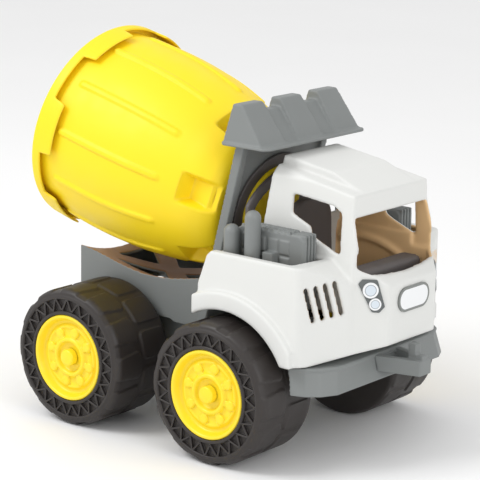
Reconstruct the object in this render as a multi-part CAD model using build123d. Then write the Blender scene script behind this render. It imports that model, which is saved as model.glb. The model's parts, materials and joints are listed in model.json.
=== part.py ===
from build123d import *
import math
import os

# Toy cement mixer truck. +X is forward, +Y is the truck's left, +Z is up.
# Lengths are in millimetres. Inside the model x is counted from the rear axle,
# and every piece is moved at the end so that the origin is under the middle.

# ---- wheels and axles ----
wheelbase = 140.0
tyre_radius = 54.0
tyre_inner_y = 51.5
tyre_outer_y = 115.0
tread_outer_y = 105.0
shoulder_drop = 4.0
tyre_bore_radius = 34.0
tyre_wall = 5.0
sidewall_groove_inner = 36.5
sidewall_groove_outer = 46.5
sidewall_groove_depth = 2.0
hub_depth = 46.0
hub_inset = 3.0
hub_wall = 2.5
hub_face_depth = 9.0
hub_ring_outer = 14.0
hub_pad_circle = 20.5
hub_pad_radius = 4.0
hub_pad_count = 8
axle_radius = 3.0
running_gap = 0.05
cap_radius = 8.5
cap_height = 6.0
side_gap = 0.6
wheel_gap = 4.0

# ---- chassis ----
chassis_half_width = 36.0
chassis_bottom = 40.0
chassis_top = 80.0
chassis_wall = 3.0
chassis_rear = -40.0
chassis_front = 196.0
chassis_nose_start = 160.0
chassis_nose_bottom = 62.0
axle_block_half_length = 10.0
axle_sleeve_radius = 8.0
screw_radius = 2.0
screw_head_radius = 4.0
screw_head_height = 2.2
screw_length = 13.0
screw_ledge_z = 65.0
screw_stations = (24.0, 70.0, 116.0)
screw_offset_y = 22.0
screw_post_radius = 7.0

# ---- rear bed ----
bed_half_width = 48.0
bed_wall = 3.0
bed_bottom = 80.0
bed_dip = 9.5
bed_stations = [(-46.0, 125.5), (-8.0, 118.5), (24.0, 113.5), (56.0, 115.5), (88.0, 121.0)]

# ---- drum ----
drum_tilt = 14.0
drum_rim_x = -64.0
drum_rim_z = 217.0
drum_wall = 2.4
drum_profile = [(2.0, 77.0), (50.0, 79.0), (90.0, 76.5), (130.0, 68.0), (157.0, 59.0), (163.0, 54.0),
                (166.5, 48.0)]
drum_length = 166.5
rim_radius = 83.0
rim_skirt = 9.0
rim_thickness = 1.8
tab_skirt = 21.0
tab_count = 6
tab_half_angle = 15.5
first_angle = 172.0
rib_count = 12
rib_start = 20.0
rib_end = 121.0
rib_width = 6.0
rib_height = 1.6
pocket_count = 6
pocket_start = 138.5
pocket_half_width = 12.0
pocket_floor_radius = 50.0
boss_radius = 33.0
boss_length = 15.0
boss_gap = 0.3
turntable_wall = 7.0
turntable_flange = 4.0
turntable_flange_thickness = 2.5

# ---- frame behind the cab ----
frame_start = 172.0
frame_thickness = 4.0
frame_rib_depth = 8.0
frame_half_width = 53.0
frame_rib_width = 7.0
frame_top_z = 229.5
frame_bottom_z = 80.0

# ---- light hood on top of the frame ----
hood_z = 229.5
hood_flange = 2.0
hood_back_x = 108.0
hood_front_x = 151.0
hood_half_width = 61.3
hood_height = 31.0
hood_wall = 2.0
bump_pitch = 45.5
bump_foot_width = 30.5
bump_top_width = 25.0
bump_foot_back_x = 110.0
bump_foot_front_x = 146.5
bump_top_back_x = 117.0
bump_top_front_x = 126.0
valley_height = 24.0

# ---- white cab ----
skin = 3.0
cab_half_width_low = 50.0
cab_half_width_high = 45.5
cab_back_low_x = 137.0
cab_back_high_x = 146.0
roof_back_z = 217.0
visor_x = 221.5
visor_top_z = 204.0
visor_bottom_z = 188.0
roof_edge_chamfer = 7.0
roof_panel_half_width = 33.0
roof_panel_rise = 6.0
deck_z = 156.0
glass_bottom_x = 231.0
glass_bottom_z = 150.0
nose_x = 243.0
nose_top_z = 139.0
nose_bottom_z = 94.0
nose_half_width = 30.0
nose_bevel = 20.0
shell_bottom_z = 82.0
chin_x = 208.0
fender_y = 95.0
pod_y = 90.0
pod_back_x = 112.0
pod_front_x = 204.5
pod_nose_x = 224.5
pod_ridge_x = 206.0
pod_ridge_drop = 15.0
pod_corner_radius = 9.0
arch_clearance = 6.2
arch_flare_width = 13.8
arch_radius = tyre_radius + arch_clearance
arch_flare_radius = arch_radius + arch_flare_width
arch_inner_y = 49.5
vent_count = 4
vent_first_y = 59.5
vent_pitch = 6.8
vent_width = 3.2
vent_length = 27.0
vent_centre_z = 131.5
vent_step_z = 1.2
vent_lean = 14.0
bay_back_x = 121.0
bay_front_x = 199.0
bay_slant = 5.0
bay_inner_y = 51.5
bay_outer_y = 83.0

# ---- bumper and towing loop ----
bumper_top_z = 81.0
bumper_bottom_z = 61.0
bumper_front_x = 221.5
bumper_crease_y = 61.0
bumper_side_y = 87.0
bumper_back_x = 182.0
bumper_spread = 4.2
bumper_wall = 3.0
hitch_tip_x = 257.0
hitch_tip_half_width = 7.0
hitch_base_half_width = 18.0
hitch_top_z = 80.0
hitch_bottom_z = 68.0
hitch_bar = 6.0
hitch_post_x = 246.5
hitch_post_size = 7.0
hitch_post_top_z = 91.0

# ---- small pieces ----
engine_back_x = 131.0
engine_front_x = 192.0
engine_inner_y = 53.0
engine_outer_y = 68.0
engine_seat_gap = 0.8
engine_bottom_z = tyre_radius + arch_radius + skin + engine_seat_gap
engine_top_z = 173.0
engine_fin_count = 4
engine_fin_width = 2.4
engine_fin_depth = 1.5
stack_radius = 6.0
tall_stack = (152.0, 75.5, 188.5)
short_stack = (132.5, 75.5, 175.5)
stack_bottom_z = engine_bottom_z
lamp_panel_thickness = 1.0
lamp_centre_z = 132.0
lamp_big_radius = 5.8
lamp_small_radius = 4.5
lens_thickness = 1.2
badge_width = 39.0
badge_height = 18.5
badge_centre_z = 125.5
badge_thickness = 1.4
seat_back_x = 142.0
seat_thickness = 8.0
seat_half_width = 27.0
seat_taper = 4.0
seat_top_z = 185.0
cabin_floor_z = 118.0
bulkhead_x = 122.5
bulkhead_depth = 4.0
cabin_floor_half_width = 43.0
hoop_half_width = 49.0
hoop_radius = 66.0
hoop_centre_z = 139.0
hoop_band = 8.0
hoop_sill_z = 150.0
back_sill_z = 168.0
liner_thickness = 2.5
liner_top_z = 160.0
dash_back_x = 203.0
dash_front_x = 222.0
dash_half_width = 40.0
dash_top_z = 146.0

front_axle_x = wheelbase
sides = {"right": -1, "left": 1}


def flat(points):
    """Closed outline through the points, as a face. A repeated point counts once."""
    corners = [point for index, point in enumerate(points) if point != points[index - 1]]
    return make_face(Polyline(*corners, close=True))


def side_prism(face, y_low, y_high):
    """Face drawn as (x, z), made solid from y_low to y_high."""
    plane = Plane(origin=(0, y_high, 0), x_dir=(1, 0, 0), z_dir=(0, -1, 0))
    return extrude(plane * face, amount=y_high - y_low)


def front_prism(face, x_low, x_high):
    """Face drawn as (y, z), made solid from x_low to x_high."""
    plane = Plane(origin=(x_low, 0, 0), x_dir=(0, 1, 0), z_dir=(1, 0, 0))
    return extrude(plane * face, amount=x_high - x_low)


def top_prism(face, z_low, z_high):
    """Face drawn as (x, y), made solid from z_low to z_high."""
    return extrude(Plane.XY.offset(z_low) * face, amount=z_high - z_low)


def box(x_low, x_high, y_low, y_high, z_low, z_high):
    middle = ((x_low + x_high) / 2, (y_low + y_high) / 2, (z_low + z_high) / 2)
    return Pos(*middle) * Box(x_high - x_low, y_high - y_low, z_high - z_low)


def rod_y(radius, x, z, y_low, y_high):
    """Round bar along Y."""
    return side_prism(Pos(x, z) * Circle(radius), y_low, y_high)


def mirrored(piece):
    return mirror(piece, about=Plane.XZ)


def by_side(piece, sign):
    """The piece as drawn on the right (-Y), or its mirror image on the left."""
    return piece if sign < 0 else mirrored(piece)


def turned(outline, x, z):
    """Outline of (radius, y) points turned about the wheel's axle line."""
    face = Plane.XY * flat(outline)
    solid = revolve(face, axis=Axis((0, 0, 0), (0, 1, 0)))
    return Pos(x, 0, z) * solid


# ---------------------------------------------------------------- wheels
def tyre(x, sign):
    low_r = tyre_radius - shoulder_drop
    inner = -tyre_inner_y
    outer = -tyre_outer_y
    tread = -tread_outer_y
    lip = outer + sidewall_groove_depth
    outline = [
        (tyre_bore_radius, inner), (low_r - 4, inner), (low_r, inner - 1.5), (tyre_radius, inner - 7),
        (tyre_radius, tread), (low_r, outer + 2.5), (low_r - 2, outer), (sidewall_groove_outer, outer),
        (sidewall_groove_outer, lip), (sidewall_groove_inner, lip), (sidewall_groove_inner, outer),
        (tyre_bore_radius, outer),
    ]
    hollow = [
        (tyre_bore_radius + tyre_wall, inner + 1), (low_r - 3, inner + 1),
        (tyre_radius - tyre_wall, inner - 10), (tyre_radius - tyre_wall, tread + 4),
        (low_r - tyre_wall, outer + 8), (tyre_bore_radius + tyre_wall, outer + 8),
    ]
    ring = turned(outline, x, tyre_radius) - turned(hollow, x, tyre_radius)
    return by_side(ring, sign)


def hub(x, sign):
    outer = -tyre_outer_y + hub_inset
    inner = outer + hub_depth
    face = outer + hub_face_depth
    bore = axle_radius + running_gap
    barrel_inner = tyre_bore_radius - hub_wall
    outline = [
        (bore, inner), (hub_ring_outer - 4, inner), (hub_ring_outer - 4, face + hub_wall),
        (barrel_inner, face + hub_wall), (barrel_inner, inner), (tyre_bore_radius, inner),
        (tyre_bore_radius, outer), (barrel_inner - 1.5, outer), (barrel_inner - 3, face),
        (hub_ring_outer, face), (hub_ring_outer, outer + 2), (hub_ring_outer - 3, outer + 2),
        (hub_ring_outer - 4, outer + cap_height - 1), (bore, outer + cap_height - 1),
    ]
    piece = turned(outline, x, tyre_radius)
    for step in range(hub_pad_count):
        angle = math.radians(step * 360 / hub_pad_count)
        pad_x = x + hub_pad_circle * math.cos(angle)
        pad_z = tyre_radius + hub_pad_circle * math.sin(angle)
        piece += rod_y(hub_pad_radius, pad_x, pad_z, outer + 2, face + 1)
    return by_side(piece, sign)


def axle(x):
    half = tyre_outer_y - hub_inset - cap_height + 3
    return rod_y(axle_radius, x, tyre_radius, -half, half)


def axle_caps(x):
    """Domed caps pressed on both ends of an axle."""
    seat = -(tyre_outer_y - hub_inset - cap_height + 1) - side_gap
    outline = [
        (0, seat), (cap_radius, seat), (cap_radius, seat - 2.5), (cap_radius * 0.8, seat - 4.4),
        (cap_radius * 0.4, seat - 5.4), (0, seat - 5.7),
    ]
    cap = turned(outline, x, tyre_radius) - axle(x)
    return cap + mirrored(cap)


# ---------------------------------------------------------------- chassis
def chassis():
    body = box(chassis_rear, chassis_front, -chassis_half_width, chassis_half_width,
               chassis_bottom, chassis_top)
    inner_half = chassis_half_width - chassis_wall
    body -= box(chassis_rear + chassis_wall, chassis_front - chassis_wall, -inner_half, inner_half,
                chassis_bottom - 1, chassis_top - chassis_wall)
    for x in (0.0, front_axle_x):
        body += box(x - axle_block_half_length, x + axle_block_half_length, -chassis_half_width,
                    chassis_half_width, chassis_bottom, chassis_top)
        sleeve_end = tyre_inner_y - side_gap
        body += rod_y(axle_sleeve_radius, x, tyre_radius, -sleeve_end, sleeve_end)
        body -= rod_y(axle_radius, x, tyre_radius, -tyre_outer_y, tyre_outer_y)
    for x, y in screw_places():
        body += Pos(x, y, 0) * screw_post()
    for x, y in screw_places():
        body -= Pos(x, y, 0) * screw_hole()
    body -= box(chassis_nose_start, chassis_front + 1, -chassis_half_width - 1, chassis_half_width + 1,
                chassis_bottom - 1, chassis_nose_bottom)
    return body


def screw_places():
    spots = []
    for x in screw_stations:
        for y in (-screw_offset_y, screw_offset_y):
            spots.append((x, y))
    return spots


def screw_post():
    height = chassis_top - chassis_bottom
    return Pos(0, 0, chassis_bottom + height / 2) * Cylinder(screw_post_radius, height)


def screw():
    """Self-tapping screw, head down, its head seated on the ledge inside a chassis post."""
    head = Pos(0, 0, screw_ledge_z - screw_head_height / 2) * Cylinder(screw_head_radius, screw_head_height)
    shank = Pos(0, 0, screw_ledge_z + screw_length / 2) * Cylinder(screw_radius, screw_length)
    return Pos(0, 0, -running_gap) * (head + shank)


def screw_hole():
    """Wide well below the ledge, with the narrow bore above it."""
    well_depth = screw_ledge_z - chassis_bottom
    well = Pos(0, 0, chassis_bottom + well_depth / 2) * Cylinder(screw_head_radius + side_gap, well_depth)
    bore_radius = screw_radius + running_gap
    bore_length = screw_length + 1.0
    return well + Pos(0, 0, screw_ledge_z + bore_length / 2) * Cylinder(bore_radius, bore_length)


def body_screws():
    parts = [Pos(x, y, 0) * screw() for x, y in screw_places()]
    return Compound(parts)


# ---------------------------------------------------------------- rear bed
def bed_section(x, edge_z, inset):
    """Outline across the bed at x: level floor, upright sides, top dished along an arc."""
    half = bed_half_width - inset
    top = edge_z - inset
    low = bed_bottom - (inset and 2.0)
    plane = Plane(origin=(x, 0, 0), x_dir=(0, 1, 0), z_dir=(1, 0, 0))
    walls = Polyline((half, top), (half, low), (-half, low), (-half, top))
    dish = ThreePointArc((-half, top), (0, top - bed_dip), (half, top))
    return plane * make_face([*walls.edges(), dish])


def bed_block(inset):
    stations = list(bed_stations)
    if inset:
        stations[0] = (stations[0][0] + inset, stations[0][1])
        stations[-1] = (stations[-1][0] - inset, stations[-1][1])
    return loft([bed_section(x, z, inset) for x, z in stations])


def rear_bed():
    bed = bed_block(0) - bed_block(bed_wall)
    bed -= on_drum(Pos(0, 0, frame_start + 100) * Box(400, 400, 200))
    low, high = bed_bottom + 10, bed_stations[0][1] + 5
    bed -= top_prism(flat([(-31, -20), (-31, 20), (-4, 0)]), low, high)
    for sign in (-1, 1):
        bed -= top_prism(flat([(-20, 34 * sign), (10, 9 * sign), (40, 34 * sign)]), low, high)
    bed -= top_prism(flat([(24, 0), (56, -22), (56, 22)]), low, high)
    for sign in (-1, 1):
        bed -= rod_y(tyre_radius + wheel_gap, 0, tyre_radius, min(0, sign * 60), max(0, sign * 60)) & box(
            -60, 60, -60, 60, bed_bottom - 5, bed_bottom + 2)
    return bed


# ---------------------------------------------------------------- drum
tilt = math.radians(drum_tilt)
drum_axis = Vector(math.cos(tilt), 0, -math.sin(tilt))
drum_rim = Vector(drum_rim_x, 0, drum_rim_z)


def on_drum(piece):
    """Moves a piece drawn about +Z, with z = 0 at the rim, onto the tilted drum axis."""
    plane = Plane(origin=drum_rim, x_dir=(0, 1, 0), z_dir=drum_axis)
    return plane.location * piece


def turned_z(outline):
    """Outline of (radius, height) points turned about Z."""
    return revolve(Plane.XZ * flat(outline), axis=Axis.Z)


def around(piece, count, start):
    """Copies of a piece drawn at local +X, turned to start and then evenly round."""
    copies = [Rot(0, 0, start + step * 360 / count) * piece for step in range(count)]
    result = copies[0]
    for copy in copies[1:]:
        result += copy
    return result


def mixer_drum():
    outer = [(0, 0), (drum_profile[0][1], 0)]
    outer += [(radius, height) for height, radius in drum_profile]
    outer += [(0, drum_length)]
    inner = [(0, -1), (drum_profile[0][1] - drum_wall, -1)]
    inner += [(radius - drum_wall, height) for height, radius in drum_profile[:-1]]
    inner += [(drum_profile[-1][1] - drum_wall, drum_length - drum_wall), (0, drum_length - drum_wall)]
    body = turned_z(outer)
    rib_depth = drum_profile[1][1] + rib_height
    ribs = Pos(rib_depth / 2, 0, (rib_start + rib_end) / 2) * Box(rib_depth, rib_width, rib_end - rib_start)
    proud = [(0, rib_start)]
    proud += [(radius + rib_height, height) for height, radius in drum_profile[:-1]]
    proud[1] = (drum_profile[0][1] + rib_height, rib_start - 8)
    proud += [(0, drum_profile[-2][0])]
    body += around(ribs, rib_count, first_angle) & turned_z(proud)
    hollow = turned_z(inner)
    pocket = Pos(pocket_floor_radius + 20, 0, (pocket_start + drum_length) / 2 + 5)
    pocket = pocket * Box(40, pocket_half_width * 2, drum_length - pocket_start + 10)
    backing = Pos(pocket_floor_radius + 20 - drum_wall, 0, (pocket_start + drum_length) / 2)
    backing = backing * Box(40, (pocket_half_width + drum_wall) * 2,
                            drum_length - pocket_start + drum_wall * 2)
    body -= hollow - around(backing, pocket_count, first_angle)
    body -= around(pocket, pocket_count, first_angle)
    lip = [(drum_profile[0][1] - drum_wall, 0), (rim_radius, 0), (rim_radius, rim_skirt),
           (rim_radius - rim_thickness, rim_skirt), (rim_radius - rim_thickness, 2),
           (drum_profile[0][1] - drum_wall, 2)]
    body += turned_z(lip)
    band = [(rim_radius - rim_thickness, rim_skirt - 1), (rim_radius, rim_skirt - 1),
            (rim_radius + 0.6, tab_skirt), (rim_radius + 0.6 - rim_thickness, tab_skirt)]
    reach = rim_radius * 1.2
    spread = reach * math.tan(math.radians(tab_half_angle))
    wedge = top_prism(flat([(0, 0), (reach, -spread), (reach, spread)]), 0, tab_skirt)
    body += turned_z(band) & around(wedge, tab_count, first_angle)
    body += Pos(0, 0, drum_length + boss_length / 2 - 0.5) * Cylinder(boss_radius, boss_length)
    return on_drum(body)


def turntable():
    """Ring that turns in the frame's round hole and carries the drum's end boss."""
    inner = boss_radius + boss_gap
    outer = inner + turntable_wall
    back = frame_start - side_gap - turntable_flange_thickness
    front = frame_start + frame_thickness + side_gap
    ring = [(inner, back), (outer + turntable_flange, back),
            (outer + turntable_flange, back + turntable_flange_thickness),
            (outer, back + turntable_flange_thickness), (outer, front),
            (outer + turntable_flange - 1.5, front), (outer + turntable_flange - 1.5, front + 2),
            (inner, front + 2)]
    return on_drum(turned_z(ring))


def drum_frame():
    """Leaning plate with a round hole, stiffened by a flange down each side."""
    along = frame_start
    bore = boss_radius + boss_gap + turntable_wall + running_gap
    length = 170.0
    plate = Pos(0, 0, along + frame_thickness / 2) * Box(frame_half_width * 2, length * 2, frame_thickness)
    rib_y = frame_half_width - frame_rib_width / 2
    ribs = Pos(0, 0, along + frame_rib_depth / 2)
    rib = Box(frame_rib_width, length * 2, frame_rib_depth)
    plate += ribs * Pos(rib_y, 0, 0) * rib
    plate += ribs * Pos(-rib_y, 0, 0) * rib
    plate -= Pos(0, 0, along) * Cylinder(bore, 40)
    plate -= Pos(0, 0, along + frame_thickness + 20) * Cylinder(bore + turntable_flange, 40)
    plate = on_drum(plate)
    wheel = rod_y(tyre_radius + wheel_gap, front_axle_x, tyre_radius, tyre_inner_y - side_gap, 80)
    plate -= wheel
    plate -= mirrored(wheel)
    plate &= box(0, 200, -80, 80, frame_bottom_z, frame_top_z)
    return plate


# ---------------------------------------------------------------- light hood
def bump(y, inset):
    foot_half = bump_foot_width / 2 - inset
    top_half = bump_top_width / 2 - inset
    foot_z = hood_z + hood_flange - (inset and 1.0)
    top_z = hood_z + hood_height - inset
    foot = Plane.XY.offset(foot_z) * flat([
        (bump_foot_back_x + inset, y - foot_half), (bump_foot_front_x - inset * 1.6, y - foot_half),
        (bump_foot_front_x - inset * 1.6, y + foot_half), (bump_foot_back_x + inset, y + foot_half)])
    top = Plane.XY.offset(top_z) * flat([
        (bump_top_back_x + inset, y - top_half), (bump_top_front_x - inset, y - top_half),
        (bump_top_front_x - inset, y + top_half), (bump_top_back_x + inset, y + top_half)])
    return loft([foot, top], ruled=True)


def light_hood():
    plate = box(hood_back_x, hood_front_x, -hood_half_width, hood_half_width, hood_z, hood_z + hood_flange)
    plate = fillet(plate.edges().filter_by(Axis.Z), 6.0)
    for y in (-bump_pitch, 0, bump_pitch):
        plate += bump(y, 0)
    low = hood_z + hood_flange
    top = hood_z + valley_height
    valley = flat([(bump_foot_back_x + 1, low), (bump_foot_front_x - 2, low),
                   (bump_top_front_x, top), (bump_top_back_x + 1, top)])
    plate += side_prism(valley, -bump_pitch, bump_pitch)
    for y in (-bump_pitch, 0, bump_pitch):
        plate -= bump(y, hood_wall)
    under = box(hood_back_x + 8, hood_front_x - 9, -bump_pitch, bump_pitch,
                hood_z - 1, hood_z + hood_flange + 1)
    for y in (-bump_pitch, 0, bump_pitch):
        half = bump_foot_width / 2 - hood_wall
        plate -= under & box(0, 200, y - half, y + half, hood_z - 2, hood_z + 10)
    return plate


# ---------------------------------------------------------------- white cab
def cab_block(inset):
    """Tall middle of the cab: its side, front and top outlines made solid and kept where all three meet."""
    low = shell_bottom_z - (inset and 5.0)
    side = flat([
        (cab_back_low_x, low), (cab_back_low_x, deck_z - 6), (cab_back_high_x, roof_back_z),
        (visor_x, visor_top_z), (visor_x, visor_bottom_z), (glass_bottom_x, glass_bottom_z),
        (nose_x, nose_top_z), (nose_x, nose_bottom_z), (chin_x, shell_bottom_z), (chin_x, low)])
    front = flat([
        (-cab_half_width_low, low), (cab_half_width_low, low), (cab_half_width_low, deck_z),
        (cab_half_width_high, roof_back_z - roof_edge_chamfer),
        (cab_half_width_high - roof_edge_chamfer, roof_back_z + 1),
        (-cab_half_width_high + roof_edge_chamfer, roof_back_z + 1),
        (-cab_half_width_high, roof_back_z - roof_edge_chamfer), (-cab_half_width_low, deck_z)])
    bevel_x = nose_x - nose_bevel
    bevel_y = nose_half_width + nose_bevel
    plan = flat([
        (cab_back_low_x, -bevel_y), (bevel_x, -bevel_y), (nose_x, -nose_half_width),
        (nose_x, nose_half_width), (bevel_x, bevel_y), (cab_back_low_x, bevel_y)])
    if inset:
        side = offset(side, amount=-inset, kind=Kind.INTERSECTION)
        front = offset(front, amount=-inset, kind=Kind.INTERSECTION)
        plan = offset(plan, amount=-inset, kind=Kind.INTERSECTION)
    solid = side_prism(side, -70, 70)
    solid &= front_prism(front, 100, 260)
    solid &= top_prism(plan, 60, 240)
    return solid


def chin_height(x):
    """Height of the upswept underside at the given place along the truck."""
    return shell_bottom_z + (x - chin_x) * (nose_bottom_z - shell_bottom_z) / (nose_x - chin_x)


def pod_block(inset):
    """Wide lower body on the right: engine deck, fender side and sloped front."""
    low = shell_bottom_z - (inset and 5.0)
    side = flat([
        (pod_back_x, low), (pod_back_x, deck_z - 26), (pod_back_x + 8, deck_z - 4),
        (pod_back_x + 12, deck_z), (pod_ridge_x, deck_z), (pod_nose_x, deck_z - pod_ridge_drop),
        (pod_nose_x, chin_height(pod_nose_x)), (chin_x, shell_bottom_z), (chin_x, low)])
    plan = flat([
        (pod_back_x, 0), (pod_back_x, -pod_y), (pod_front_x, -pod_y), (pod_nose_x, -cab_half_width_low),
        (pod_nose_x, 0)])
    corner = plan.vertices().sort_by(Axis.Y)[:2].sort_by(Axis.X)[-1]
    plan = fillet(corner, pod_corner_radius)
    if inset:
        side = offset(side, amount=-inset, kind=Kind.INTERSECTION)
        plan = offset(plan, amount=-inset, kind=Kind.INTERSECTION)
    solid = side_prism(side, -pod_y, 0) & top_prism(plan, 60, 200)
    return solid


def cab_shell():
    outer = cab_block(0)
    right = pod_block(0)
    flare = rod_y(arch_flare_radius, front_axle_x, tyre_radius, -fender_y, -60)
    flare &= box(pod_back_x - 2, pod_front_x - 2, -100, 0, shell_bottom_z, deck_z - 20)
    right += flare
    outer += right
    outer += mirrored(right)
    outer -= box(0, cab_back_low_x, -cab_half_width_low, cab_half_width_low, 0, deck_z + 50)
    panel = flat([(-roof_panel_half_width, roof_back_z - 30), (roof_panel_half_width, roof_back_z - 30),
                  (roof_panel_half_width, roof_back_z + 1), (roof_panel_half_width - 5, 300),
                  (-roof_panel_half_width + 5, 300), (-roof_panel_half_width, roof_back_z + 1)])
    rise = flat([(cab_back_high_x - 3, roof_back_z - 20), (cab_back_high_x, roof_back_z + roof_panel_rise),
                 (visor_x - 30, roof_back_z + roof_panel_rise - 7), (visor_x - 3, visor_top_z + 1),
                 (visor_x - 4, roof_back_z - 20)])
    outer += front_prism(panel, 130, 230) & side_prism(rise, -60, 60)
    well = rod_y(arch_radius + skin, front_axle_x, tyre_radius, -pod_y, -arch_inner_y + skin)
    well &= box(pod_back_x, pod_front_x, -100, 0, shell_bottom_z, 200)
    behind_cab = box(0, cab_back_low_x + skin, -cab_half_width_low - skin, 0, 0, deck_z + 50)
    inner_pod = pod_block(skin) - behind_cab
    hollow = cab_block(skin) + inner_pod + mirrored(inner_pod)
    hollow -= well + mirrored(well)
    outer -= hollow
    liner_y = cab_half_width_low - skin
    liner = box(cab_back_low_x + skin, nose_x - nose_bevel, -liner_y, -liner_y + liner_thickness,
                cabin_floor_z - 3, liner_top_z)
    outer += (liner + mirrored(liner)) & cab_block(0)
    arch = rod_y(arch_radius, front_axle_x, tyre_radius, -fender_y - 5, -arch_inner_y)
    outer -= arch + mirrored(arch)
    return outer - cab_openings()


def cab_openings():
    window = flat([
        (166, 198.5), (166, 184), (183, 177), (185, 171), (190.5, 168), (211.5, 159.5),
        (210.5, 190), (203, 194.5)])
    window = fillet(window.vertices(), 2.0)
    cuts = side_prism(window, -60, 60)
    glass = flat([(-45, 187.5), (45, 187.5), (47, 152), (38, 147), (0, 144), (-38, 147), (-47, 152)])
    glass = fillet(glass.vertices(), 4.0)
    cuts += front_prism(glass, visor_x - 12, nose_x + 5)
    bay = flat([(bay_back_x, -bay_inner_y), (bay_back_x, -bay_outer_y),
                (bay_front_x - bay_slant, -bay_outer_y), (bay_front_x, -bay_inner_y)])
    bay = fillet(bay.vertices(), 2.0)
    bay = top_prism(bay, deck_z - skin - 2, deck_z + 2)
    cuts += bay
    cuts += mirrored(bay)
    for step in range(vent_count):
        for sign in (-1, 1):
            y = sign * (vent_first_y + step * vent_pitch)
            slot = SlotOverall(vent_length, vent_width, rotation=90 - vent_lean * sign)
            slot = Pos(y, vent_centre_z - step * vent_step_z) * slot
            cuts += front_prism(slot, pod_front_x - 8, pod_nose_x + 3)
    behind = cab_back_low_x - 5
    ahead = cab_back_high_x + 8
    back_half = cabin_floor_half_width + side_gap
    seat_half = seat_half_width + side_gap
    cuts += box(behind, ahead, -back_half, back_half, back_sill_z, roof_back_z - 12)
    cuts += box(behind, ahead, -back_half, back_half, 0, cabin_floor_z + side_gap)
    cuts += box(behind, ahead, -seat_half, seat_half, 0, back_sill_z + 1)
    return cuts


# ---------------------------------------------------------------- bumper and loop
def bumper_outline(grow):
    front = bumper_front_x + grow
    crease = bumper_crease_y + grow
    side = bumper_side_y + grow
    half = [(bumper_back_x, -side), (196 + grow, -side + 1.5), (207 + grow, -side + 6),
            (215 + grow, -side + 13), (front, -crease)]
    other = [(x, -y) for x, y in reversed(half)]
    return flat(half + other)


def bumper_solid(inset):
    low = bumper_bottom_z - (inset and 1.0)
    high = bumper_top_z - inset
    wide = offset(bumper_outline(bumper_spread), amount=-inset, kind=Kind.INTERSECTION)
    narrow = offset(bumper_outline(0), amount=-inset, kind=Kind.INTERSECTION)
    return loft([Plane.XY.offset(low) * wide, Plane.XY.offset(high) * narrow], ruled=True)


def front_bumper():
    body = bumper_solid(0)
    hollow = bumper_solid(bumper_wall)
    hollow += Pos(-bumper_wall * 2, 0, 0) * hollow
    body -= hollow
    arch = rod_y(arch_radius, front_axle_x, tyre_radius, -120, 120)
    body -= arch - box(0, 300, -arch_inner_y, arch_inner_y, 0, 200)
    body -= box(0, chassis_front, -chassis_half_width, chassis_half_width, 0, chassis_top)
    return body


def tow_hitch():
    back = bumper_front_x + 1.0
    outer = flat([(back - 6, -hitch_base_half_width), (hitch_tip_x, -hitch_tip_half_width),
                  (hitch_tip_x, hitch_tip_half_width), (back - 6, hitch_base_half_width)])
    inner = offset(outer, amount=-hitch_bar, kind=Kind.INTERSECTION)
    loop = top_prism(outer, hitch_bottom_z, hitch_top_z)
    loop -= top_prism(inner, hitch_bottom_z - 1, hitch_top_z + 1)
    half = hitch_post_size / 2
    loop += box(hitch_post_x - half, hitch_tip_x - 1, -half, half, hitch_bottom_z, hitch_post_top_z - 8)
    loop += box(hitch_post_x - half, hitch_post_x + half, -half, half, hitch_bottom_z, hitch_post_top_z)
    return loop - bumper_solid(0)


# ---------------------------------------------------------------- small pieces
def engine_block():
    """Ribbed engine casting standing in the right-hand deck opening."""
    body = box(engine_back_x, engine_front_x, -engine_outer_y, -engine_inner_y,
               engine_bottom_z, engine_top_z)
    body = fillet(body.edges().filter_by(Axis.Y).group_by(Axis.Z)[-1], 5.0)
    width = engine_outer_y - engine_inner_y
    for step in range(engine_fin_count):
        y = -engine_outer_y + width * (step + 0.5) / engine_fin_count
        half = engine_fin_width / 2
        body += box(engine_front_x - 3, engine_front_x + engine_fin_depth, y - half, y + half,
                    engine_bottom_z, engine_top_z - 3)
    return body


def stack(place):
    x, y, top = place
    tube = Pos(x, -y, (stack_bottom_z + top - stack_radius) / 2)
    tube = tube * Cylinder(stack_radius, top - stack_radius - stack_bottom_z)
    return tube + Pos(x, -y, top - stack_radius) * Sphere(stack_radius)


def lamp_plane():
    """Plane of the right bevel of the nose: local x runs forward and inward along it, local y is up."""
    middle = nose_half_width + nose_bevel / 2
    origin = (nose_x - nose_bevel / 2, -middle, lamp_centre_z)
    return Plane(origin=origin, x_dir=(1, 1, 0), z_dir=(1, -1, 0))


def lamp_panel():
    outline = flat([(-9, 9), (-6, 12.5), (5, 12), (11, -8), (7, -12.5), (1.5, -12)])
    outline = fillet(outline.vertices(), 1.4)
    return extrude(lamp_plane() * outline, amount=lamp_panel_thickness)


def lamp_lenses():
    plane = lamp_plane().offset(lamp_panel_thickness)
    spots = [(0, 4.5, lamp_big_radius), (3.6, -5.9, lamp_small_radius)]
    parts = []
    for x, y, radius in spots:
        disc = extrude(plane * (Pos(x, y) * Circle(radius)), amount=lens_thickness)
        parts.append(disc)
    return Compound(parts)


def badge():
    plane = Plane(origin=(nose_x, 0, badge_centre_z), x_dir=(0, 1, 0), z_dir=(1, 0, 0))
    return extrude(plane * SlotOverall(badge_width, badge_height), amount=badge_thickness)


def hoop_face(half_width, radius, sill_z):
    """Upright face with an arched top, as seen from the front."""
    rise = math.sqrt(radius ** 2 - half_width ** 2)
    spring_z = hoop_centre_z + rise
    return make_face([
        Line((-half_width, sill_z), (half_width, sill_z)),
        Line((half_width, sill_z), (half_width, spring_z)),
        ThreePointArc((half_width, spring_z), (0, hoop_centre_z + radius), (-half_width, spring_z)),
        Line((-half_width, spring_z), (-half_width, sill_z))])


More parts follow.
